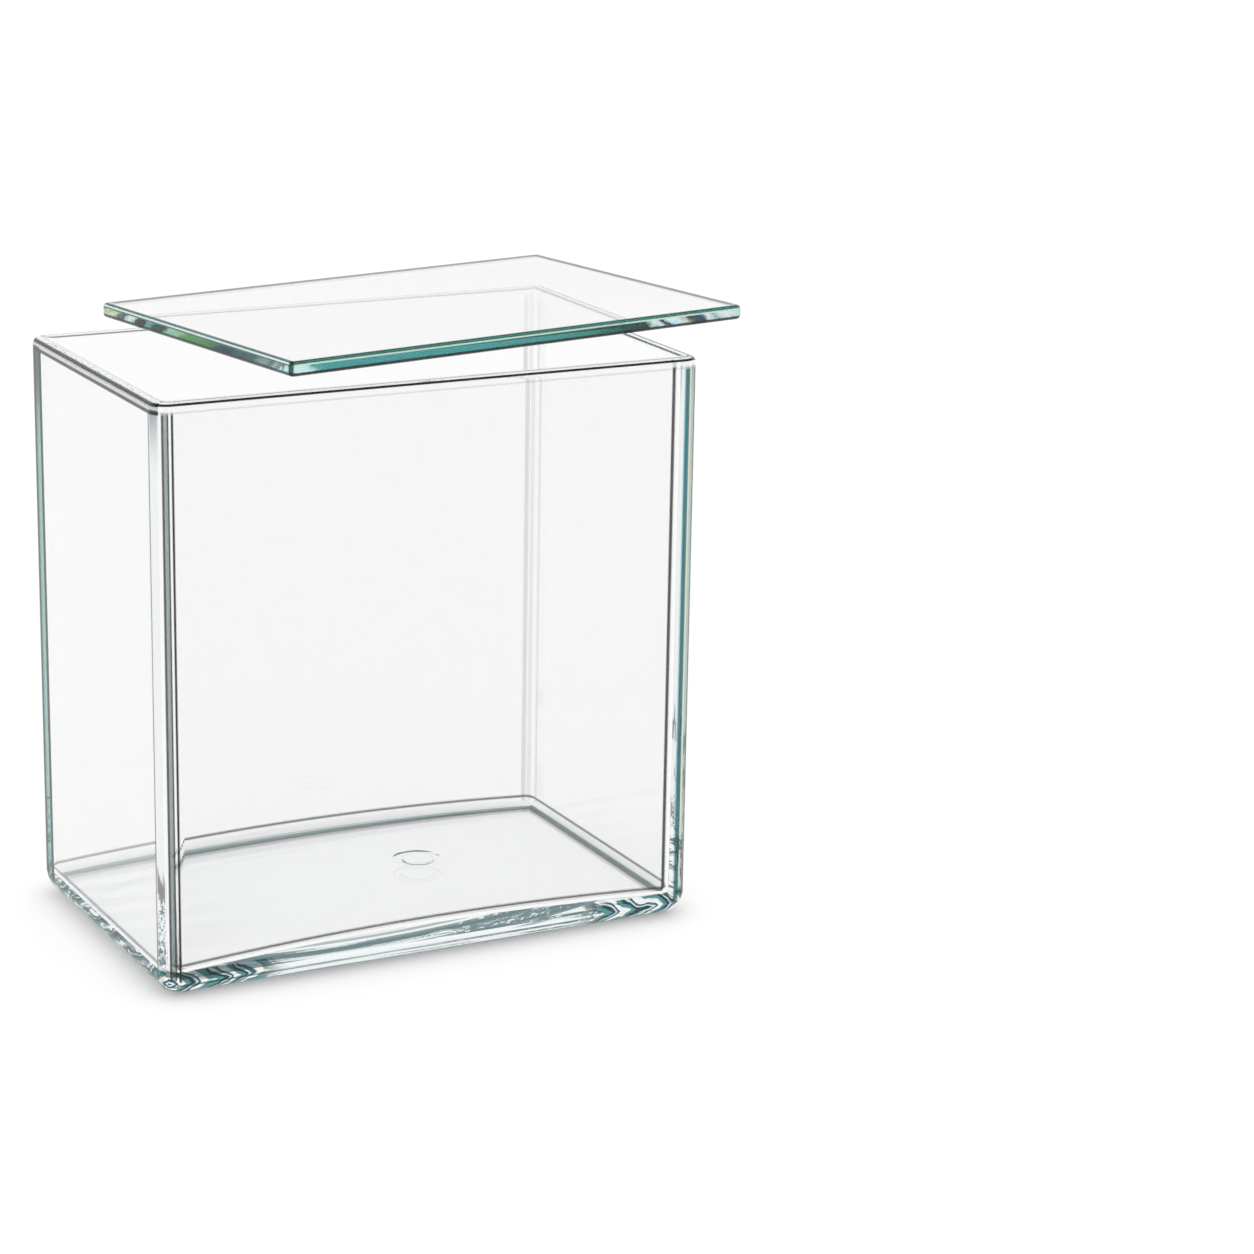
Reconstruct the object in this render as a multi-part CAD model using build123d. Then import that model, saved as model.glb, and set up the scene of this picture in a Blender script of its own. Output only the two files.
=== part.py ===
from build123d import *
import os
from math import asin, degrees, sqrt

# Developing chamber for 200 x 200 mm thin-layer plates: a moulded glass tank and the glass plate laid on it.
# Millimetres. X runs along the long walls, Y from the front wall to the back wall, Z up.
# The origin is the middle of the underside that the tank stands on.

# Tank, outside
tank_length = 220.0
tank_width = 137.0
tank_height = 225.0
corner_round = 6.5
base_round = 9.0

# Tank, inside
wall = 6.0
cavity_corner_round = 4.0
cavity_floor_round = 3.5
floor_thickness = 8.0  # at the foot of the two end walls
floor_crown = 4.0  # rise of the cavity floor from the end walls to its middle

# Fire-polished rim, rounded on both sides of a narrow flat
rim_round = 2.5

# Shallow ring that the mould leaves in the cavity floor, off its middle
mark_diameter = 16.0  # at the middle of the ring's band
mark_band = 4.0
mark_depth = 0.5
mark_x = 27.0
mark_y = 10.0

# Lid, a glass plate with polished edges
lid_thickness = 5.8
lid_end_inset = 3.5  # a lid that lies square stops this far inside each end of the tank
lid_side_lip = 1.0  # and passes each long side by this much
lid_corner_round = 2.5
lid_edge_round = 1.6

# The lid as it lies, slid back and to the right and turned on the rim
lid_slide_right = 45.0
lid_slide_back = 42.0
lid_turn = 9.8

cavity_length = tank_length - 2 * wall
cavity_width = tank_width - 2 * wall
crown_radius = ((cavity_length / 2) ** 2 + floor_crown**2) / (2 * floor_crown)


def floor_height(x: float) -> float:
    """Height of the crowned cavity floor above the underside, at x along the tank."""
    return floor_thickness + floor_crown - crown_radius + sqrt(crown_radius**2 - x**2)


def tank_block() -> Part:
    """The outside of the tank as a solid block, its upright and bottom edges rounded."""
    block = Box(tank_length, tank_width, tank_height, align=(Align.CENTER, Align.CENTER, Align.MIN))
    block = fillet(block.edges().filter_by(Axis.Z), corner_round)
    return fillet(block.faces().sort_by(Axis.Z)[0].edges(), base_round)


def cavity() -> Part:
    """The space inside the tank: open at the top, crowned floor, rounded inner edges."""
    end = cavity_length / 2
    outline = RadiusArc((-end, floor_thickness), (end, floor_thickness), crown_radius)
    outline += Polyline(
        (end, floor_thickness),
        (end, tank_height),
        (-end, tank_height),
        (-end, floor_thickness),
    )
    profile = make_face(Plane.XZ * outline)
    space = extrude(profile, amount=cavity_width / 2, both=True)
    space = fillet(space.edges().filter_by(Axis.Z), cavity_corner_round)
    return fillet(space.faces().sort_by(Axis.Z)[0].edges(), cavity_floor_round)


def mould_mark() -> Part:
    """The tool that presses the ring into the floor, leaning with the crown where the ring lies."""
    half_band = mark_band / 2
    tube = (half_band**2 + mark_depth**2) / (2 * mark_depth)
    lean = degrees(asin(mark_x / crown_radius))
    centre = (mark_x, mark_y, floor_height(mark_x) - mark_depth + tube)
    return Pos(*centre) * Rot(Y=lean) * Torus(mark_diameter / 2, tube)


def tank() -> Part:
    """The moulded tank in one piece, its rim rounded on both sides."""
    body = tank_block() - cavity() - mould_mark()
    rim = body.faces().filter_by(Plane.XY).sort_by(Axis.Z)[-1]
    return fillet(rim.edges(), rim_round)


def lid() -> Part:
    """The lid plate, laid on the rim where it was slid to."""
    length = tank_length - 2 * lid_end_inset
    width = tank_width + 2 * lid_side_lip
    plate = Box(length, width, lid_thickness, align=(Align.CENTER, Align.CENTER, Align.MIN))
    plate = fillet(plate.edges().filter_by(Axis.Z), lid_corner_round)
    flats = plate.faces().filter_by(Plane.XY)
    plate = fillet(flats.edges(), lid_edge_round)
    return Pos(lid_slide_right, lid_slide_back, tank_height) * Rot(Z=lid_turn) * plate


os.makedirs("parts", exist_ok=True)
export_step(tank(), "parts/tank.step")
export_step(lid(), "parts/lid.step")
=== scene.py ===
"""Thin-layer developing chamber: a moulded glass tank, its glass lid slid partly open, on a white floor."""

import logging
import math
from collections import Counter
from collections.abc import Callable, Iterable
from dataclasses import dataclass
from enum import Enum

import bpy
from mathutils import Matrix, Vector


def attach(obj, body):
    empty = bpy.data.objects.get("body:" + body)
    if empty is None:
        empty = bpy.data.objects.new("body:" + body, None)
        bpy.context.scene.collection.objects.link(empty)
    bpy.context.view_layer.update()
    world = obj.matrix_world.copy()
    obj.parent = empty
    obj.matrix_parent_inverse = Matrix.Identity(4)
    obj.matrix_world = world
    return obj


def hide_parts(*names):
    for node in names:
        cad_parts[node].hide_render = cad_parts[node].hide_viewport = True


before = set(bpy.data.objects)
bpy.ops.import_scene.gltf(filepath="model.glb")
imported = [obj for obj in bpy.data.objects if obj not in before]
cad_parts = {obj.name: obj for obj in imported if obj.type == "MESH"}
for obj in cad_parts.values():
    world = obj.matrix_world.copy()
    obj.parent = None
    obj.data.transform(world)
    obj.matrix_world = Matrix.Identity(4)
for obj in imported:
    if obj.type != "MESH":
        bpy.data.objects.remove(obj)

log = logging.getLogger("developing_chamber")

Colour = tuple[float, float, float]

MM = 0.001
TOUCH = 1e-6  # metres within which two places are the same
ONCE = 0.5  # a ray's count of turns is above this once it has made one

FACING = 0.9  # the least part along Z of the normal of a face that counts as level
SMOOTH_ANGLE = math.radians(20)  # edges that turn by more stay sharp


class Slot(Enum):
    """The record's material slots."""

    TANK = "tank_glass"
    LID = "lid_glass"


class Part(Enum):
    """What a selection in edit mode picks."""

    FACES = "FACE"
    EDGES = "EDGE"


class Value:
    """A shader socket on which sums can be written."""

    def __init__(self, tree: "Shader", socket: bpy.types.NodeSocket) -> None:
        """Keeps the socket and the tree it belongs to."""
        self.tree = tree
        self.socket = socket

    def math(self, operation: str, *others: "Value | float", clamp: bool = False) -> "Value":
        """Adds one Math node that starts from this value.

        Args:
            operation: The Math node's operation.
            others: Its other operands.
            clamp: True to keep the result between 0 and 1.

        Returns:
            The result.
        """
        settings = {"operation": operation, "use_clamp": clamp}
        inputs = {i: v for i, v in enumerate((self, *others))}
        return self.tree.add("ShaderNodeMath", settings, inputs)

    def __add__(self, other: "Value | float") -> "Value":
        """This plus other."""
        return self.math("ADD", other)

    __radd__ = __add__

    def __mul__(self, other: "Value | float") -> "Value":
        """This times other."""
        return self.math("MULTIPLY", other)

    __rmul__ = __mul__

    def __sub__(self, other: "Value | float") -> "Value":
        """This less other."""
        return self.math("SUBTRACT", other)

    def __rsub__(self, other: float) -> "Value":
        """Other less this."""
        return self * -1.0 + other

    def __pow__(self, other: float) -> "Value":
        """This to the power other."""
        return self.math("POWER", other)

    def higher(self, other: "Value | float") -> "Value":
        """The higher of the two."""
        return self.math("MAXIMUM", other)

    def lower(self, other: "Value | float") -> "Value":
        """The lower of the two."""
        return self.math("MINIMUM", other)

    def above(self, limit: "Value | float") -> "Value":
        """1 where this is above the limit."""
        return self.math("GREATER_THAN", limit)

    def root(self) -> "Value":
        """The square root."""
        return self.math("SQRT")

    def size(self) -> "Value":
        """This without its sign."""
        return self.math("ABSOLUTE")

    def ramp(self, low: float, high: float) -> "Value":
        """A smooth step: 0 at low, 1 at high and beyond."""
        settings = {"interpolation_type": "SMOOTHSTEP"}
        inputs = {"Value": self, "From Min": low, "From Max": high}
        return self.tree.add("ShaderNodeMapRange", settings, inputs)


class Shader:
    """A node tree that is filled by expressions."""

    def __init__(self, tree: bpy.types.NodeTree) -> None:
        """Empties the tree."""
        self.tree = tree
        tree.nodes.clear()

    def add(
        self,
        kind: str,
        settings: dict | None = None,
        inputs: dict | None = None,
        output: int | str = 0,
    ) -> Value:
        """Adds a node.

        Args:
            kind: The node's type.
            settings: Properties to set first.
            inputs: Values or links, by socket name or number.
            output: The output to return.

        Returns:
            The asked output.
        """
        node = self.tree.nodes.new(kind)
        for name, value in (settings or {}).items():
            if name == "stops":
                self.fill_ramp(node.color_ramp, value)
            else:
                setattr(node, name, value)
        for name, value in (inputs or {}).items():
            if isinstance(value, Value):
                self.tree.links.new(value.socket, node.inputs[name])
            else:
                node.inputs[name].default_value = value
        return Value(self, node.outputs[output] if len(node.outputs) else None)

    def fill_ramp(self, ramp: bpy.types.ColorRamp, stops: Iterable[tuple[float, Colour]]) -> None:
        """Gives a colour ramp its stops.

        Args:
            ramp: A new ramp, which has two stops.
            stops: Place and colour of each stop, in order.
        """
        for element in list(ramp.elements)[1:]:
            ramp.elements.remove(element)
        for number, (place, colour) in enumerate(stops):
            element = ramp.elements[0] if number == 0 else ramp.elements.new(place)
            element.position = place
            element.color = (*colour, 1.0)

    def place(self) -> tuple[Value, Value, Value]:
        """The place on the piece in millimetres, as x, y and z."""
        spot = self.add("ShaderNodeTexCoord", output="Object")
        spot = self.add("ShaderNodeVectorMath", {"operation": "SCALE"}, {0: spot, "Scale": 1 / MM})
        return self.split(spot)

    def split(self, vector: Value) -> tuple[Value, Value, Value]:
        """The three parts of a vector."""
        x, y, z = (self.add("ShaderNodeSeparateXYZ", None, {0: vector}, output=i) for i in range(3))
        return x, y, z

    def blend(self, kind: str, mask: Value | float, below: Value | Colour, above: Value | Colour) -> Value:
        """Mixes two colours.

        Args:
            kind: The Mix node's blend type.
            mask: How much of the upper colour shows.
            below: The lower colour.
            above: The upper colour.

        Returns:
            The mixed colour.
        """
        below, above = (c if isinstance(c, Value) else (*c, 1.0) for c in (below, above))
        settings = {"data_type": "RGBA", "blend_type": kind}
        return self.add("ShaderNodeMix", settings, {0: mask, 6: below, 7: above}, output=2)

    def ray(self, *kinds: str) -> Value:
        """1 where the ray is of any of these kinds, as Light Path names them."""
        found = [self.add("ShaderNodeLightPath", output=f"Is {kind} Ray") for kind in kinds]
        mask = found[0]
        for other in found[1:]:
            mask = mask.higher(other)
        return mask

    def mix(self, mask: Value, off: Value, on: Value) -> Value:
        """The shader off where mask is 0 and the shader on where it is 1."""
        return self.add("ShaderNodeMixShader", None, {0: mask, 1: off, 2: on})

    def depth(self, kind: str) -> Value:
        """How many turns of this kind the ray has made, as Light Path names them."""
        return self.add("ShaderNodeLightPath", output=f"{kind} Depth")

    def reflected(self) -> Value:
        """1 for a ray that has been reflected on its way."""
        return self.depth("Glossy").above(ONCE)


def grey(level: float) -> Colour:
    """A neutral colour."""
    return (level, level, level)


WHITE = grey(1.0)


@dataclass(frozen=True)
class Profile:
    """Painted shade and highlights across an edge: what gets through the glass at places where its rounding
    bends the light away.
    """

    stops: tuple[tuple[float, Colour], ...]

    def tint(self, nodes: Shader, place: Value) -> Value:
        """Paints the light and shade at the places.

        Args:
            nodes: The material's tree.
            place: Millimetres across the edge, as the stops count them.

        Returns:
            The base colour, which a refraction takes the square root of.
        """
        first, last = self.stops[0][0], self.stops[-1][0]
        length = last - first
        stops = [((at - first) / length, tuple(c * c for c in seen)) for at, seen in self.stops]
        factor = (place - first) * (1.0 / length)
        return nodes.add("ShaderNodeValToRGB", {"stops": stops}, {"Fac": factor})


@dataclass(frozen=True)
class Rounding:
    """An upright corner rounding of a rectangular wall or hollow, in millimetres."""

    half_length: float
    half_width: float
    radius: float

    def measure(self, nodes: Shader, x: Value, y: Value) -> tuple[Value, Value]:
        """Measures a place from the wall.

        Args:
            nodes: The material's tree.
            x: Place along the length.
            y: Place along the width.

        Returns:
            Distance inward from the wall, and distance round the corner, from the end wall to the side wall.
        """
        u = x.size() - (self.half_length - self.radius)
        v = y.size() - (self.half_width - self.radius)
        over_u, over_v = u.higher(0.0), v.higher(0.0)
        reach = (over_u * over_u + over_v * over_v).root()
        inward = self.radius - reach - u.higher(v).lower(0.0)
        round_way = over_v.math("ARCTAN2", over_u) * self.radius + v.lower(0.0) - u.lower(0.0)
        return inward, round_way


@dataclass(frozen=True)
class Glass:
    """A clear glass that turns green along long paths.

    The light that crosses metre after metre of it falls by the exponents in fall, for red, green and blue.
    """

    name: str
    fall: Colour
    ior: float = 1.5
    shade: float = 0.98  # what a surface lets through to the floor
    foot_shade: float = 0.3  # what the foot lets through to the floor
    turns: float = 12.0  # after these, trapped light leaves the glass straight

    def clear(self, nodes: Shader, level: float) -> Value:
        """A plain see-through surface that lets this share of the light through."""
        return nodes.add("ShaderNodeBsdfTransparent", None, {"Color": (level, level, level, 1.0)})

    def material(
        self, painted_light: Callable[[Shader], Value], foot: Callable[[Shader], Value] | None = None
    ) -> bpy.types.Material:
        """Makes the material.

        Args:
            painted_light: Gives the base colour in the material's tree: painted shade, highlights and green
                along the edges.
            foot: Gives 1 where the glass throws the deep shadow of its foot.

        Returns:
            The material, ready for a slot.
        """
        mat = bpy.data.materials.new(self.name)
        mat.use_nodes = True
        nodes = Shader(mat.node_tree)
        # The base colour paints shade, highlights and green along the edges for light that comes straight
        # through; light reflected on its way passes white
        body = nodes.add(
            "ShaderNodeBsdfPrincipled",
            None,
            {
                "Base Color": nodes.blend("MIX", nodes.reflected(), painted_light(nodes), WHITE),
                "Roughness": 0.0,
                "IOR": self.ior,
                "Transmission Weight": 1.0,
            },
        )
        open_to_light = self.clear(nodes, self.shade)
        if foot:
            open_to_light = nodes.mix(foot(nodes), open_to_light, self.clear(nodes, self.foot_shade))
        trapped = nodes.depth("Ray").above(self.turns)
        surface = nodes.mix(nodes.ray("Shadow", "Diffuse").higher(trapped), body, open_to_light)
        density = max(self.fall)
        passed = [1.0 - fall / density for fall in self.fall]
        volume = nodes.add(
            "ShaderNodeVolumeAbsorption", None, {"Color": (*passed, 1.0), "Density": density}
        )
        nodes.add("ShaderNodeOutputMaterial", None, {"Surface": surface, "Volume": volume})
        return mat


@dataclass(frozen=True)
class Surround:
    """What the glass shows of the studio.

    Looked straight through, the glass shows plain white. Light that has been reflected in or on the glass
    comes from fields between dark flags, which draw the edges and leave the faces nearly white.
    """

    deep: Colour = (0.04, 0.13, 0.15)
    flag: float = 0.95  # how dark a flag is
    flag_edge: float = 1.5  # the more, the narrower it is
    near_floor: float = 1.1  # metres from the middle where the flags begin on the floor
    far_floor: float = 1.5  # and where they are full
    low_sky: tuple[float, float] = (0.10, 0.17)  # heights between which the sky's flags end
    high_sky: tuple[float, float] = (0.5, 0.65)  # heights between which the dark ceiling begins
    ceiling: float = 0.85  # how dark it is

    def turned(self, nodes: Shader) -> Value:
        """1 for light that has been reflected on its way."""
        return nodes.reflected() * nodes.ray("Glossy", "Transmission")

    def flags(self, x: Value, y: Value) -> Value:
        """How dark the surround is in the direction x, y: two flags, each halfway between two axes."""
        diagonal = (x * y).higher(0.0) * 2.0
        length = x * x + y * y
        return diagonal.math("DIVIDE", length) ** self.flag_edge * self.flag

    def floor(self, x: Value, y: Value) -> Value:
        """How dark the floor is at x, y."""
        return self.flags(x, y) * (x * x + y * y).root().ramp(self.near_floor, self.far_floor)

    def sky(self, x: Value, y: Value, z: Value) -> Value:
        """How dark the sky is in the direction x, y, z."""
        full, gone = self.low_sky
        low = (0.0 - z).ramp(-gone, -full) * self.flags(x, y)
        high = z.ramp(*self.high_sky) * self.ceiling
        return high.higher(low)


SURROUND = Surround()


@dataclass(frozen=True)
class WhiteFloor:
    """A white studio sweep that shows white to the camera and through glass, and keeps the shadow."""

    albedo: float = 0.9
    lift: float = 0.14  # brings what the lit floor shows up to white

    def material(self) -> bpy.types.Material:
        """Makes the material.

        Returns:
            The material, ready for a slot.
        """
        mat = bpy.data.materials.new("white_floor")
        mat.use_nodes = True
        nodes = Shader(mat.node_tree)
        x, y, _ = nodes.split(nodes.add("ShaderNodeTexCoord", output="Object"))
        paper = nodes.add("ShaderNodeBsdfDiffuse", None, {"Color": (*grey(self.albedo), 1.0)})
        seen = nodes.ray("Camera", "Glossy", "Transmission") * self.lift
        glow = nodes.add("ShaderNodeEmission", None, {"Strength": seen})
        lit = nodes.add("ShaderNodeAddShader", None, {0: paper, 1: glow})
        tone = nodes.blend("MIX", SURROUND.floor(x, y), WHITE, SURROUND.deep)
        flagged = nodes.add("ShaderNodeEmission", None, {"Color": tone, "Strength": 1.0})
        through = nodes.depth("Transmission").above(ONCE)
        surface = nodes.mix(SURROUND.turned(nodes) * through, lit, flagged)
        nodes.add("ShaderNodeOutputMaterial", None, {"Surface": surface})
        return mat


class Workpiece:
    """A mesh object that is shaped as by hand."""

    def __init__(self, name: str, size: tuple[float, float, float], foot: float) -> None:
        """Adds a block centred on Z.

        Args:
            name: The object's name.
            size: The block's length, width and height, in metres.
            foot: Height of its underside.
        """
        bpy.ops.object.select_all(action="DESELECT")
        bpy.ops.mesh.primitive_cube_add(size=1.0, location=(0.0, 0.0, foot + size[2] / 2))
        self.object = bpy.context.object
        self.object.name = self.object.data.name = name
        self.object.scale = size
        self.settle()

    @property
    def mesh(self) -> bpy.types.Mesh:
        """The object's mesh."""
        return self.object.data

    def settle(self) -> None:
        """Puts the object's place, turn and scale into its mesh."""
        bpy.ops.object.transform_apply(location=True, rotation=True, scale=True)

    def pick(self, part: Part, chosen: Callable[..., bool]) -> int:
        """Selects faces or edges by a test and enters edit mode.

        Args:
            part: What to pick.
            chosen: A test of one face or edge.

        Returns:
            How many are picked.
        """
        bpy.ops.object.mode_set(mode="EDIT")
        bpy.ops.mesh.select_mode(type=part.value)
        bpy.ops.mesh.select_all(action="DESELECT")
        bpy.ops.object.mode_set(mode="OBJECT")
        items = self.mesh.polygons if part is Part.FACES else self.mesh.edges
        picked = [item for item in items if chosen(item)]
        for item in picked:
            item.select = True
        bpy.ops.object.mode_set(mode="EDIT")
        return len(picked)

    def leave(self) -> None:
        """Leaves edit mode."""
        bpy.ops.object.mode_set(mode="OBJECT")

    def ends(self, edge: bpy.types.MeshEdge) -> tuple[Vector, Vector]:
        """The two ends of an edge."""
        first, last = (self.mesh.vertices[i].co for i in edge.vertices)
        return first, last

    def weigh(self, radius: Callable[[Vector, Vector], float]) -> float:
        """Gives each edge a bevel weight for the radius that it asks for.

        Args:
            radius: The radius for an edge, from its two ends.

        Returns:
            The largest radius, which has weight 1.
        """
        radii = [radius(*self.ends(edge)) for edge in self.mesh.edges]
        largest = max(radii)
        weights = self.mesh.attributes.new("bevel_weight_edge", "FLOAT", "EDGE")
        weights.data.foreach_set("value", [r / largest for r in radii])
        return largest

    def modify(self, kind: str, **settings: object) -> None:
        """Adds a modifier and applies it."""
        bpy.context.view_layer.objects.active = self.object
        modifier = self.object.modifiers.new(kind.lower(), kind)
        for name, value in settings.items():
            setattr(modifier, name, value)
        bpy.ops.object.modifier_apply(modifier=modifier.name)

    def borders(self, faces: Callable[[bpy.types.MeshPolygon], bool]) -> set[tuple[int, int]]:
        """The edges round the chosen faces, as their keys."""
        keys = Counter(k for p in self.mesh.polygons if faces(p) for k in p.edge_keys)
        return {key for key, times in keys.items() if times == 1}

    def smooth(self, angle: float) -> None:
        """Shades smoothly up to an angle, with flat faces left truly flat."""
        bpy.ops.object.shade_smooth_by_angle(angle=angle)
        self.modify("WEIGHTED_NORMAL", mode="FACE_AREA", weight=100, keep_sharp=True)


def near(a: float, b: float) -> bool:
    """True where two measures agree."""
    return abs(a - b) < TOUCH


# Painted edge colours: TEAL is partly the glass's own green along long paths, painted where bent light would
# show it; CREAM is a painted highlight
TEAL = (0.18, 0.46, 0.48)
CREAM = (0.86, 0.82, 0.68)

# Painted shade and highlights: dark and white lines along the rim that stand in for the light its roundings
# bend away
# Places count over the rim from the outer face, where they are negative, to the inner face
SIDE_RIM = Profile(
    (
        (-4.2, WHITE),
        (-3.6, grey(0.75)),
        (-3.0, WHITE),
        (-1.0, WHITE),
        (-0.7, grey(0.02)),
        (0.6, grey(0.02)),
        (0.9, WHITE),
        (2.2, WHITE),
        (2.6, grey(0.02)),
        (5.0, grey(0.02)),
        (6.4, WHITE),
    )
)
END_RIM = Profile(
    (
        (-4.6, WHITE),
        (-4.2, grey(0.03)),
        (-3.0, grey(0.03)),
        (-2.7, grey(0.7)),
        (-1.5, grey(0.65)),
        (-1.1, grey(0.2)),
        (-0.8, grey(0.01)),
        (0.5, grey(0.01)),
        (1.0, grey(0.2)),
        (1.6, WHITE),
        (3.3, WHITE),
        (3.8, (0.45, 0.56, 0.56)),
        (5.0, (0.25, 0.38, 0.38)),
        (6.4, WHITE),
    )
)
BACK_RIM = Profile(
    (
        (-1.6, WHITE),
        (-1.0, grey(0.02)),
        (0.4, grey(0.02)),
        (0.8, grey(0.4)),
        (3.4, grey(0.45)),
        (3.8, WHITE),
        (5.2, WHITE),
        (5.6, grey(0.3)),
        (6.2, grey(0.3)),
        (6.6, WHITE),
    )
)
RIGHT_RIM = Profile(
    (
        (-1.6, WHITE),
        (-1.0, grey(0.02)),
        (0.4, (0.02, 0.05, 0.04)),
        (3.2, (0.06, 0.12, 0.10)),
        (3.8, WHITE),
        (4.8, WHITE),
        (5.2, grey(0.1)),
        (6.0, grey(0.1)),
        (6.6, WHITE),
    )
)
# Painted shade and highlights on the upright outer corners, standing in for the light their roundings bend
# away; LEFT_CORNER paints dark bars on the back left corner, and GREEN_CORNER's green is partly the glass's
# own, painted where bent light would show it
# Places count round the corner from the end wall to the side wall
CORNER = Profile(
    (
        (-1.0, WHITE),
        (-0.4, grey(0.2)),
        (0.2, grey(0.2)),
        (0.7, WHITE),
        (5.9, WHITE),
        (6.3, grey(0.1)),
        (6.9, grey(0.1)),
        (7.2, (0.36, 0.42, 0.41)),
        (8.1, (0.32, 0.38, 0.38)),
        (8.4, grey(0.05)),
        (8.7, grey(0.05)),
        (9.0, WHITE),
        (9.5, WHITE),
        (9.8, grey(0.01)),
        (10.4, grey(0.01)),
        (10.9, WHITE),
    )
)
LEFT_CORNER = Profile(
    (
        (-8.4, WHITE),
        (-8.0, grey(0.01)),
        (-5.6, grey(0.01)),
        (-4.8, (0.3, 0.55, 0.52)),
        (-2.2, (0.2, 0.42, 0.4)),
        (-1.0, grey(0.01)),
        (3.4, grey(0.01)),
        (3.8, WHITE),
    )
)
GREEN_CORNER = Profile(
    (
        (-1.0, WHITE),
        (0.0, TEAL),
        (2.8, grey(0.02)),
        (5.6, grey(0.03)),
        (6.3, (0.5, 0.64, 0.62)),
        (7.4, (0.55, 0.6, 0.5)),
        (8.2, CREAM),
        (8.7, (0.1, 0.16, 0.16)),
        (9.2, (0.03, 0.22, 0.25)),
        (10.2, (0.03, 0.18, 0.20)),
        (10.6, (0.3, 0.5, 0.5)),
        (11.3, WHITE),
    )
)
# Painted shade and highlights along the cavity's upright corners
HOLLOW_CORNER = Profile(
    (
        (-1.2, WHITE),
        (-0.4, grey(0.6)),
        (0.4, grey(0.6)),
        (1.0, WHITE),
        (5.2, WHITE),
        (5.7, grey(0.03)),
        (6.7, grey(0.03)),
        (7.2, WHITE),
    )
)
# Painted shade, highlights and green along the foot's rounding, standing in for the light it bends away
# Places count down from the outer wall and in under the base
BASE = Profile(
    (
        (-8.6, WHITE),
        (-7.4, WHITE),
        (-6.8, grey(0.01)),
        (-4.3, (0.01, 0.06, 0.06)),
        (-3.6, (0.08, 0.40, 0.40)),
        (-1.6, (0.2, 0.5, 0.5)),
        (-0.9, WHITE),
        (4.0, WHITE),
    )
)
END_BASE = Profile(
    (
        (-8.6, WHITE),
        (-7.4, grey(0.05)),
        (-1.6, grey(0.01)),
        (-1.0, (0.08, 0.40, 0.40)),
        (0.2, (0.15, 0.45, 0.45)),
        (0.9, WHITE),
        (4.0, WHITE),
    )
)
# Painted shade, highlights and green in the arrow pattern of the thick foot
# Places count from one arrow of the foot's pattern to the next, as a share of its pitch
ARROW = Profile(
    (
        (0.0, WHITE),
        (0.18, WHITE),
        (0.22, (0.9, 0.8, 0.55)),
        (0.26, (0.05, 0.30, 0.33)),
        (0.42, (0.06, 0.32, 0.35)),
        (0.48, (0.01, 0.02, 0.02)),
        (0.62, (0.01, 0.05, 0.06)),
        (0.67, (0.5, 0.8, 0.8)),
        (0.71, WHITE),
        (0.76, (0.03, 0.18, 0.21)),
        (0.90, (0.01, 0.10, 0.12)),
        (0.95, WHITE),
        (1.0, WHITE),
    )
)
# Painted shade and highlights along the edge of the cavity floor
# Places count down the inner wall and in over the floor
HOLLOW_FLOOR = Profile(
    (
        (-4.4, WHITE),
        (-3.6, grey(0.5)),
        (-2.8, WHITE),
        (2.6, WHITE),
        (3.2, grey(0.15)),
        (3.8, grey(0.15)),
        (4.6, WHITE),
    )
)


@dataclass(frozen=True)
class Arrows:
    """Painted shade, highlights and green in arrow shapes near the thick foot's corners, standing in for the
    light the foot bends, in millimetres.
    """

    per_length: float = 0.085  # arrows in a millimetre of a side wall
    on_end: float = 0.55  # as many as this share of it on an end wall
    lean: float = 0.13  # arrows that the pattern falls back by in each millimetre from the tips
    tips: float = 6.0  # height of the tips
    sway: float = 2.0  # arrows that the grain moves the pattern by
    grain: float = 70.0
    detail: float = 2.0
    clear_half: float = 58.0  # reach of the plain stretch from the middle of a side wall
    fade_in: float = 14.0
    bottom: float = -2.2  # place round the foot's edge, below 0 under the base
    top: float = 11.4
    soft: float = 0.6

    def tint(self, nodes: Shader, x: Value, y: Value, z: Value, end_wall: Value) -> Value:
        """Paints the arrows' shade, highlights and green.

        Args:
            nodes: The material's tree.
            x: Place along the length.
            y: Place along the width.
            z: Height.
            end_wall: 1 on the end walls.

        Returns:
            The tint.
        """
        along = x + (y * self.on_end - x) * end_wall
        spot = nodes.add("ShaderNodeTexCoord", output="Object")
        settings = {"Vector": spot, "Scale": self.grain, "Detail": self.detail}
        waves = nodes.add("ShaderNodeTexNoise", None, settings)
        phase = along * self.per_length + (z - self.tips).size() * self.lean + waves * self.sway
        return ARROW.tint(nodes, phase.math("FRACT"))

    def mask(self, x: Value, z: Value, down: Value, end_wall: Value) -> Value:
        """Marks where the arrows show.

        Args:
            x: Place along the length.
            z: Height.
            down: Place down the outer wall and in under the base.
            end_wall: 1 on the end walls.

        Returns:
            1 where they show in full.
        """
        near_end = (x.size() - self.clear_half).ramp(0.0, self.fade_in).higher(end_wall)
        low = (down - self.bottom).ramp(0.0, self.soft)
        return low * (self.top - z).ramp(0.0, self.soft) * near_end


@dataclass(frozen=True)
class Lines:
    """How the tank's painted lines of shade and highlight along its edges are laid, in millimetres."""

    on_face: float = 0.5  # a place as near as this is on a face
    under_floor: float = 0.1  # a place lower than the cavity floor by more than this is on the underside
    below_rim: float = 2.4  # where the upright lines begin
    fade_in: float = 2.0
    far_corner: float = 0.7  # what the far corner's outer lines lose
    far_hollow: float = 0.55  # what the far corner's inner lines lose
    foot_fade: float = 3.0
    foot_reach: float = 2.0  # how far the foot's shadow reaches in past its rounding
    # painted shade: a light grey over the whole tank that dims its faces, standing in for the dimmer studio
    # they reflect
    clear: Colour = grey(0.94)


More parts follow.
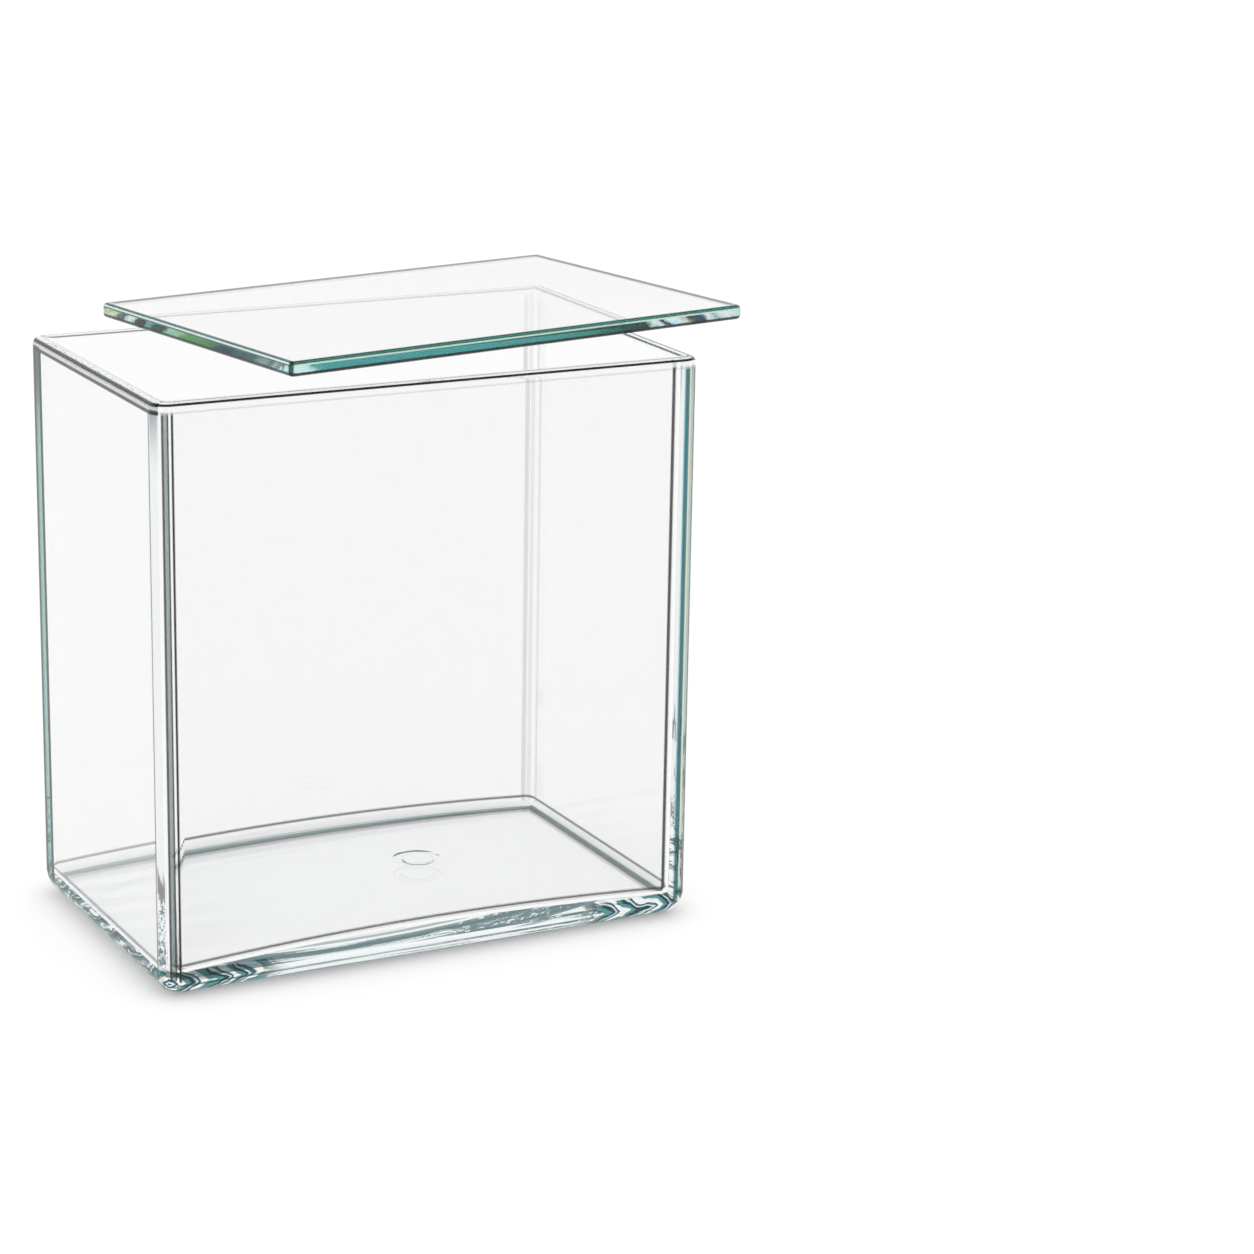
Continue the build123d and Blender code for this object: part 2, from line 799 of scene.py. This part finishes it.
@dataclass
class Tank:
    """The moulded tank, sizes in metres."""

    length: float = 220 * MM
    width: float = 137 * MM
    height: float = 225 * MM
    wall: float = 6 * MM
    corner_round: float = 6.5 * MM
    base_round: float = 9 * MM
    cavity_corner_round: float = 4 * MM
    cavity_floor_round: float = 3.5 * MM
    floor_thickness: float = 8 * MM
    floor_crown: float = 4 * MM
    rim_round: float = 2.5 * MM
    mark_diameter: float = 16 * MM
    mark_band: float = 4 * MM
    mark_depth: float = 0.5 * MM
    mark_x: float = 27 * MM
    mark_y: float = 10 * MM
    mark_steps: int = 96
    round_steps: int = 12
    crown_steps: int = 48
    glass: Glass = Glass("tank_glass", fall=(0.4, 0.2, 0.18))
    lines: Lines = Lines()
    arrows: Arrows = Arrows()

    @property
    def cavity(self) -> tuple[float, float]:
        """Half the cavity's length and width."""
        return self.length / 2 - self.wall, self.width / 2 - self.wall

    @property
    def crown_radius(self) -> float:
        """Radius of the arc that the cavity floor follows."""
        return (self.cavity[0] ** 2 + self.floor_crown**2) / (2 * self.floor_crown)

    def floor_height(self, x: float) -> float:
        """Height of the crowned cavity floor at x."""
        radius = self.crown_radius
        return self.floor_thickness + self.floor_crown - radius + math.sqrt(radius**2 - x**2)

    def hollow(self, piece: Workpiece) -> None:
        """Insets the top and pushes it down to the cavity floor."""
        piece.pick(Part.FACES, lambda p: p.normal.z > FACING)
        bpy.ops.mesh.inset(thickness=self.wall, use_even_offset=True)
        drop = self.floor_thickness - self.height
        bpy.ops.mesh.extrude_region_move(TRANSFORM_OT_translate={"value": (0.0, 0.0, drop)})
        piece.leave()

    def on_floor(self, spot: Vector) -> bool:
        """True for a place on the cavity floor, before or after it is crowned."""
        half_wall = self.wall / 2
        in_length = abs(spot.x) < self.length / 2 - half_wall
        in_width = abs(spot.y) < self.width / 2 - half_wall
        return in_length and in_width and TOUCH < spot.z < self.floor_thickness + 2 * self.floor_crown

    def crown(self, piece: Workpiece) -> None:
        """Cuts the cavity floor across into strips and lifts them along a shallow arc."""
        reach = self.cavity[0]
        for step in range(1, self.crown_steps):
            x = reach * (2 * step / self.crown_steps - 1)
            piece.pick(Part.FACES, lambda p: p.normal.z > FACING and self.on_floor(p.center))
            bpy.ops.mesh.bisect(plane_co=(x, 0.0, 0.0), plane_no=(1.0, 0.0, 0.0))
        piece.leave()
        for vertex in piece.mesh.vertices:
            if self.on_floor(vertex.co):
                vertex.co.z = self.floor_height(vertex.co.x)

    def edge_radius(self, first: Vector, last: Vector) -> float:
        """The rounding of an upright or bottom edge, outside or inside, and none on the rim."""
        reach_x, reach_y = self.cavity
        upright = near(first.x, last.x) and near(first.y, last.y)
        if upright:
            return self.corner_round if near(abs(first.x), self.length / 2) else self.cavity_corner_round
        if near(first.z, 0.0) and near(last.z, 0.0):
            return self.base_round
        if not (self.on_floor(first) and self.on_floor(last)):
            return 0.0
        along = near(first.y, last.y) and near(abs(first.y), reach_y)
        across = near(first.x, last.x) and near(abs(first.x), reach_x)
        return self.cavity_floor_round if along or across else 0.0

    def round_body(self, piece: Workpiece) -> None:
        """Rounds the upright and bottom edges in one pass."""
        piece.modify(
            "BEVEL",
            width=piece.weigh(self.edge_radius),
            segments=self.round_steps,
            limit_method="WEIGHT",
            use_clamp_overlap=False,
        )

    def round_rim(self, piece: Workpiece) -> None:
        """Rounds the rim on both sides of its narrow flat."""
        top = piece.borders(lambda p: p.normal.z > FACING and near(p.center.z, self.height))
        piece.pick(Part.EDGES, lambda e: e.key in top)
        bpy.ops.mesh.bevel(offset=self.rim_round, segments=self.round_steps, clamp_overlap=False)
        piece.leave()

    def sink_mark(self, piece: Workpiece) -> None:
        """Sinks the mould's ring mark into the cavity floor with a ring-shaped cutter."""
        tube = ((self.mark_band / 2) ** 2 + self.mark_depth**2) / (2 * self.mark_depth)
        bpy.ops.object.select_all(action="DESELECT")
        bpy.ops.mesh.primitive_torus_add(
            major_radius=self.mark_diameter / 2,
            minor_radius=tube,
            major_segments=self.mark_steps,
            minor_segments=self.mark_steps,
            location=(self.mark_x, self.mark_y, self.floor_height(self.mark_x) - self.mark_depth + tube),
            rotation=(0.0, math.asin(self.mark_x / self.crown_radius), 0.0),
        )
        cutter = bpy.context.object
        piece.modify("BOOLEAN", operation="DIFFERENCE", solver="EXACT", object=cutter)
        bpy.data.objects.remove(cutter)

    def build(self) -> bpy.types.Object:
        """Models and dresses the tank.

        Returns:
            The finished piece.
        """
        piece = Workpiece("tank_body", (self.length, self.width, self.height), 0.0)
        self.hollow(piece)
        self.crown(piece)
        self.round_body(piece)
        self.round_rim(piece)
        self.sink_mark(piece)
        piece.smooth(SMOOTH_ANGLE)
        piece.mesh.materials.append(self.glass.material(self.painted_light, self.foot))
        return piece.object

    def outside(self) -> Rounding:
        """The outer wall's plan, in millimetres."""
        return Rounding(self.length / 2 / MM, self.width / 2 / MM, self.corner_round / MM)

    def foot(self, nodes: Shader) -> Value:
        """Marks the rounded foot, which takes the light from the floor just under it.

        Args:
            nodes: The material's tree.

        Returns:
            1 on the foot, fading to 0 above and inside it.
        """
        x, y, z = nodes.place()
        depth, _ = self.outside().measure(nodes, x, y)
        reach = self.base_round / MM
        low = (reach - z).ramp(0.0, self.lines.foot_fade)
        return low * (reach + self.lines.foot_reach - depth).ramp(0.0, self.lines.foot_fade)

    def rim_painted_light(self, nodes: Shader, x: Value, y: Value, place: Value, end_wall: Value) -> Value:
        """Paints the rim's shade and highlights.

        Args:
            nodes: The material's tree.
            x: Place along the length.
            y: Place along the width.
            place: Place over the rim from the outer face to the inner face.
            end_wall: 1 on the end walls.

        Returns:
            The tint.
        """
        side = nodes.blend("MIX", y.above(0.0), SIDE_RIM.tint(nodes, place), BACK_RIM.tint(nodes, place))
        end = nodes.blend("MIX", x.above(0.0), END_RIM.tint(nodes, place), RIGHT_RIM.tint(nodes, place))
        return nodes.blend("MIX", end_wall, side, end)

    def corner_painted_light(self, nodes: Shader, x: Value, y: Value, place: Value, entering: Value) -> Value:
        """Paints shade, highlights and green on the upright outer corners.

        Args:
            nodes: The material's tree.
            x: Place along the length.
            y: Place along the width.
            place: Place round the corner from the end wall to the side wall.
            entering: 1 for light that enters the glass.

        Returns:
            The tint.
        """
        # Two corners on one diagonal take the green painted profile, and the back left one also its painted
        # dark bars
        green = (x * y).math("LESS_THAN", 0.0)
        tint = nodes.blend("MIX", green, CORNER.tint(nodes, place), GREEN_CORNER.tint(nodes, place))
        left = nodes.blend("MIX", entering, WHITE, LEFT_CORNER.tint(nodes, place))
        return nodes.blend("MIX", green * y.above(0.0), tint, left)

    def painted_light(self, nodes: Shader) -> Value:
        """Paints dark lines of shade, highlights and green along the tank's edges, standing in for the light
        its roundings bend away; the green is partly the glass's own green along long paths.

        Args:
            nodes: The material's tree.

        Returns:
            The base colour.
        """
        lines = self.lines
        x, y, z = nodes.place()
        half_length, half_width = self.length / 2 / MM, self.width / 2 / MM
        wall, thickness = self.wall / MM, self.floor_thickness / MM
        inside = Rounding(half_length - wall, half_width - wall, self.cavity_corner_round / MM)
        depth, corner = self.outside().measure(nodes, x, y)
        open_depth, hollow_corner = inside.measure(nodes, x, y)
        on_wall = depth.math("LESS_THAN", lines.on_face)
        on_hollow = open_depth.size().math("LESS_THAN", lines.on_face)
        outer = on_wall.higher(z.math("LESS_THAN", thickness - lines.under_floor))
        along = x * (1.0 / (half_length - wall))
        floor = (1.0 - along * along) * (self.floor_crown / MM) + thickness
        over_top = z - self.height / MM
        rim = depth + over_top * ((wall / 2 - depth).above(0.0) * 2.0 - 1.0)
        end_wall = (x.size() - half_length).above(y.size() - half_width)
        below_rim = (-lines.below_rim - over_top).ramp(0.0, lines.fade_in)
        back, right = y.above(0.0), x.above(0.0)
        entering = 1.0 - nodes.add("ShaderNodeNewGeometry", output="Backfacing")
        down = z - depth
        base_painted_light = nodes.blend("MIX", end_wall, BASE.tint(nodes, down), END_BASE.tint(nodes, down))
        on_foot = self.arrows.mask(x, z, down, end_wall) * outer * entering
        on_corner = on_wall * below_rim * (1.0 - back * right * lines.far_corner)
        on_hollow_corner = on_hollow * below_rim * right * (1.0 - back * lines.far_hollow)
        parts = (
            (1.0, self.rim_painted_light(nodes, x, y, rim, end_wall)),
            (on_corner, self.corner_painted_light(nodes, x, y, corner, entering)),
            (outer, base_painted_light),
            (on_foot, self.arrows.tint(nodes, x, y, z, end_wall)),
            (on_hollow_corner, HOLLOW_CORNER.tint(nodes, hollow_corner)),
            (1.0 - outer, HOLLOW_FLOOR.tint(nodes, z - floor - open_depth)),
        )
        # Start from the painted grey shade over the faces, then multiply in each painted profile
        colour: Value | Colour = lines.clear
        for mask, tint in parts:
            colour = nodes.blend("MULTIPLY", mask, colour, tint)
        return colour


# Painted shade, highlights and green along the lid's edges, standing in for the light its roundings bend and
# guide along the plate; the green is partly the glass's own green along long paths, and the cream and pale
# yellow stops are painted highlights
# Places count from under the lid, round its edge and in over its top
LID_EDGE = Profile(
    (
        (-5.0, WHITE),
        (-4.5, grey(0.1)),
        (-1.9, grey(0.02)),
        (-1.4, grey(0.02)),
        (-1.1, (0.8, 0.95, 0.95)),
        (-0.8, WHITE),
        (1.2, WHITE),
        (1.4, (0.85, 0.9, 0.75)),
        (1.8, (0.85, 0.9, 0.75)),
        (2.1, (0.03, 0.16, 0.13)),
        (2.9, (0.09, 0.32, 0.26)),
        (3.5, (0.04, 0.18, 0.15)),
        (3.8, (0.02, 0.06, 0.05)),
        (4.7, (0.02, 0.06, 0.05)),
        (5.2, WHITE),
    )
)
LID_END_EDGE = Profile(
    (
        (-5.0, WHITE),
        (-4.5, grey(0.1)),
        (-1.9, (0.02, 0.08, 0.08)),
        (-1.3, (0.03, 0.10, 0.10)),
        (-1.0, (0.6, 0.8, 0.8)),
        (-0.7, WHITE),
        (1.2, WHITE),
        (1.4, (0.02, 0.08, 0.07)),
        (1.8, (0.03, 0.12, 0.10)),
        (2.0, WHITE),
        (2.7, WHITE),
        (3.0, (0.04, 0.22, 0.17)),
        (3.7, (0.02, 0.12, 0.09)),
        (4.7, (0.01, 0.05, 0.04)),
        (5.2, WHITE),
    )
)
LID_FAR_EDGE = Profile(
    (
        (-5.0, WHITE),
        (-4.5, grey(0.3)),
        (-3.0, grey(0.3)),
        (-2.0, WHITE),
        (2.0, WHITE),
        (2.6, grey(0.02)),
        (7.0, grey(0.02)),
        (8.2, WHITE),
    )
)
# Painted shade, highlights and green along the lid's front edge
# Places count along the lid's front edge from its left end to its right end
LID_FRONT = Profile(
    (
        (-105.0, WHITE),
        (-100.0, (0.8, 1.0, 1.0)),
        (-96.0, (0.10, 0.42, 0.42)),
        (-90.0, (0.07, 0.37, 0.36)),
        (0.0, (0.07, 0.37, 0.35)),
        (24.0, (0.06, 0.33, 0.26)),
        (38.0, (0.03, 0.20, 0.16)),
        (46.0, (0.01, 0.07, 0.07)),
        (59.0, (0.01, 0.05, 0.06)),
        (61.0, (0.45, 0.75, 0.60)),
        (64.0, WHITE),
        (66.0, (0.01, 0.03, 0.06)),
        (68.0, (0.02, 0.05, 0.10)),
        (70.0, (0.8, 0.95, 1.0)),
        (73.0, WHITE),
        (76.0, CREAM),
        (79.0, (0.25, 0.20, 0.12)),
        (81.0, (0.02, 0.06, 0.12)),
        (86.0, (0.02, 0.10, 0.16)),
        (89.0, WHITE),
        (93.0, (0.3, 0.5, 0.5)),
        (97.0, WHITE),
        (105.0, (0.6, 0.8, 0.8)),
    )
)
# Painted shade, highlights and green along the lid's end edge
# Places count along the lid's end edge from its front end to its back end
LID_SIDE = Profile(
    (
        (-68.0, WHITE),
        (-63.5, WHITE),
        (-62.0, (0.15, 0.25, 0.24)),
        (-58.0, (0.5, 0.5, 0.4)),
        (-55.0, (0.06, 0.16, 0.16)),
        (-50.0, (0.4, 0.42, 0.4)),
        (-46.0, (0.05, 0.17, 0.17)),
        (-36.0, (0.04, 0.14, 0.14)),
        (-27.0, (0.01, 0.05, 0.08)),
        (-18.0, (0.01, 0.06, 0.06)),
        (-13.0, (0.08, 0.28, 0.10)),
        (6.0, (0.12, 0.34, 0.08)),
        (10.0, (0.4, 0.62, 0.3)),
        (17.0, (0.5, 0.75, 0.55)),
        (21.0, (0.01, 0.06, 0.05)),
        (29.0, (0.01, 0.06, 0.06)),
        (33.0, (0.15, 0.4, 0.38)),
        (36.0, (0.01, 0.02, 0.01)),
        (42.0, (0.05, 0.04, 0.02)),
        (45.0, (0.9, 0.9, 0.75)),
        (48.0, WHITE),
        (51.0, (0.06, 0.04, 0.02)),
        (56.0, (0.12, 0.2, 0.22)),
        (60.0, (0.9, 0.8, 0.45)),
        (68.0, (0.95, 0.9, 0.6)),
    )
)
# Painted shade on the lid's corners
# Places count round the lid's corners from the end edge to the long edge
LID_CORNER = Profile(
    (
        (0.2, WHITE),
        (0.8, (0.02, 0.16, 0.12)),
        (2.4, (0.02, 0.16, 0.12)),
        (3.2, WHITE),
    )
)


@dataclass(frozen=True)
class Band:
    """How the painted shade, highlights and green on the lid's near edges are laid, in millimetres."""

    lean: float = 1.4  # how far the pattern moves along for each millimetre up
    sway: float = 8.0  # how far the grain moves it along
    grain: float = 0.25
    detail: float = 3.0
    reach: float = 4.6  # how far from the edge's middle the lines go
    top: float = 1.3  # where the pattern ends, below the upper lines
    # a slightly warm grey over the whole lid that dims it a little
    clear: Colour = (0.93, 0.90, 0.91)


@dataclass
class Lid:
    """The lid plate as it lies on the rim, sizes in metres."""

    length: float = 213 * MM
    width: float = 139 * MM
    thickness: float = 5.8 * MM
    corner_round: float = 2.5 * MM
    edge_round: float = 1.6 * MM
    slide_right: float = 45 * MM
    slide_back: float = 42 * MM
    turn: float = math.radians(9.8)
    rest: float = 225 * MM
    film: float = 0.05 * MM  # air between the lid and the rim
    round_steps: int = 8
    glass: Glass = Glass("lid_glass", fall=(1.6, 0.6, 0.55))
    band: Band = Band()

    def build(self) -> bpy.types.Object:
        """Models, places and dresses the lid.

        Returns:
            The finished piece.
        """
        piece = Workpiece("lid_plate", (self.length, self.width, self.thickness - self.film), 0.0)
        piece.pick(Part.EDGES, lambda e: abs(piece.ends(e)[0].z - piece.ends(e)[1].z) > TOUCH)
        bpy.ops.mesh.bevel(offset=self.corner_round, segments=self.round_steps)
        piece.leave()
        flats = piece.borders(lambda p: abs(p.normal.z) > FACING)
        piece.pick(Part.EDGES, lambda e: e.key in flats)
        bpy.ops.mesh.bevel(offset=self.edge_round, segments=self.round_steps)
        piece.leave()
        piece.smooth(SMOOTH_ANGLE)
        piece.object.rotation_euler.z = self.turn
        piece.object.location = (self.slide_right, self.slide_back, self.rest + self.film)
        piece.settle()
        piece.mesh.materials.append(self.glass.material(self.painted_light))
        return piece.object

    def painted_light(self, nodes: Shader) -> Value:
        """Paints dark lines of shade, highlights and green along the lid's edges, standing in for the light
        its roundings bend and guide along the plate.

        Args:
            nodes: The material's tree.

        Returns:
            The base colour.
        """
        spot = nodes.add("ShaderNodeTexCoord", output="Object")
        spot = nodes.add(
            "ShaderNodeMapping",
            {"vector_type": "TEXTURE"},
            {
                "Vector": spot,
                "Location": (self.slide_right, self.slide_back, self.rest),
                "Rotation": (0.0, 0.0, self.turn),
                "Scale": (MM, MM, MM),
            },
        )
        x, y, z = nodes.split(spot)
        band = self.band
        half_length, half_width = self.length / 2 / MM, self.width / 2 / MM
        depth, corner = Rounding(half_length, half_width, self.corner_round / MM).measure(nodes, x, y)
        up = z - self.thickness / 2 / MM
        place = up + depth * up.math("SIGN")
        end_wall = (x.size() - half_length).above(y.size() - half_width)
        far = (y + (x - y) * end_wall).above(0.0)
        settings = {"Vector": spot, "Scale": band.grain, "Detail": band.detail}
        grain = nodes.add("ShaderNodeTexNoise", None, settings)
        shift = up * band.lean + grain * band.sway - band.sway / 2
        front, side = LID_FRONT.tint(nodes, x + shift), LID_SIDE.tint(nodes, y + shift)
        pattern = nodes.blend("MIX", end_wall, front, side)
        on_edge = (band.reach - place.size()).above(0.0)
        on_band = on_edge * (band.top - place).above(0.0)
        outline = nodes.blend("MIX", end_wall, LID_EDGE.tint(nodes, place), LID_END_EDGE.tint(nodes, place))
        near_edge = nodes.blend("MULTIPLY", on_band, outline, pattern)
        near_edge = nodes.blend("MULTIPLY", on_edge, near_edge, LID_CORNER.tint(nodes, corner))
        colour = nodes.blend("MIX", far, near_edge, LID_FAR_EDGE.tint(nodes, place))
        # A slightly warm grey over the whole lid dims it a little
        return nodes.blend("MULTIPLY", 1.0, colour, band.clear)


@dataclass
class Studio:
    """White floor, soft light from all round and the camera."""

    image: float = 1254.0  # width of the picture in pixels, in which focal, seen_x and seen_y are given
    azimuth: float = math.radians(-28.12)
    elevation: float = math.radians(15.80)
    roll: float = math.radians(1.13)
    focal: float = 3584.0
    distance: float = 1.398
    seen_x: float = 363.3
    seen_y: float = 629.6
    aim_height: float = 112.5 * MM
    sensor: float = 36.0
    floor_drop: float = 0.2 * MM
    floor_size: float = 30.0
    bounces: int = 32
    glossy_bounces: int = 24

    def camera(self) -> bpy.types.Object:
        """Stands the camera so that the tank's middle shows at seen_x, seen_y of the picture."""
        back = Vector(
            (
                math.sin(self.azimuth) * math.cos(self.elevation),
                -math.cos(self.azimuth) * math.cos(self.elevation),
                math.sin(self.elevation),
            )
        )
        level = Vector((math.cos(self.azimuth), math.sin(self.azimuth), 0.0))
        up = back.cross(level)
        right = level * math.cos(self.roll) + up * math.sin(self.roll)
        up = up * math.cos(self.roll) - level * math.sin(self.roll)
        per_pixel = self.distance / self.focal
        place = Vector((0.0, 0.0, self.aim_height)) + back * self.distance
        place -= right * (self.seen_x - self.image / 2) * per_pixel
        place += up * (self.seen_y - self.image / 2) * per_pixel
        data = bpy.data.cameras.new("camera")
        data.sensor_width = self.sensor
        data.lens = self.sensor * self.focal / self.image
        camera = bpy.data.objects.new("camera", data)
        camera.matrix_world = Matrix.Translation(place) @ Matrix((right, up, back)).transposed().to_4x4()
        bpy.context.scene.collection.objects.link(camera)
        bpy.context.scene.camera = camera
        return camera

    def floor(self) -> bpy.types.Object:
        """Lays the white floor."""
        bpy.ops.object.select_all(action="DESELECT")
        bpy.ops.mesh.primitive_plane_add(size=self.floor_size, location=(0.0, 0.0, -self.floor_drop))
        plane = bpy.context.object
        plane.name = "studio_floor"
        plane.data.materials.append(WhiteFloor().material())
        return plane

    def world(self) -> None:
        """Lights the scene from all round, white to the camera."""
        world = bpy.data.worlds.new("soft_white")
        bpy.context.scene.world = world
        world.use_nodes = True
        nodes = Shader(world.node_tree)
        x, y, z = nodes.split(nodes.add("ShaderNodeTexCoord", output="Generated"))
        dark = SURROUND.sky(x, y, z) * SURROUND.turned(nodes)
        tone = nodes.blend("MIX", dark, WHITE, SURROUND.deep)
        sky = nodes.add("ShaderNodeBackground", None, {"Color": tone, "Strength": 1.0})
        nodes.add("ShaderNodeOutputWorld", None, {"Surface": sky})

    def build(self) -> None:
        """Sets up the whole studio."""
        scene = bpy.context.scene
        scene.view_settings.view_transform = "Standard"
        scene.cycles.max_bounces = self.bounces
        scene.cycles.transmission_bounces = self.bounces
        scene.cycles.glossy_bounces = self.glossy_bounces
        scene.cycles.transparent_max_bounces = self.bounces
        self.floor()
        self.world()
        self.camera()


def main() -> None:
    """Builds the chamber and the studio, and notes the sizes of both models."""
    logging.basicConfig(level=logging.INFO)
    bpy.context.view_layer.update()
    tank = Tank().build()
    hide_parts("tank")
    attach(tank, "root")
    log.info("tank: %d faces", len(tank.data.polygons))
    lid = Lid().build()
    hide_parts("lid")
    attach(lid, "root")
    log.info("lid: %d faces", len(lid.data.polygons))
    Studio().build()


if __name__ == "__main__":
    main()
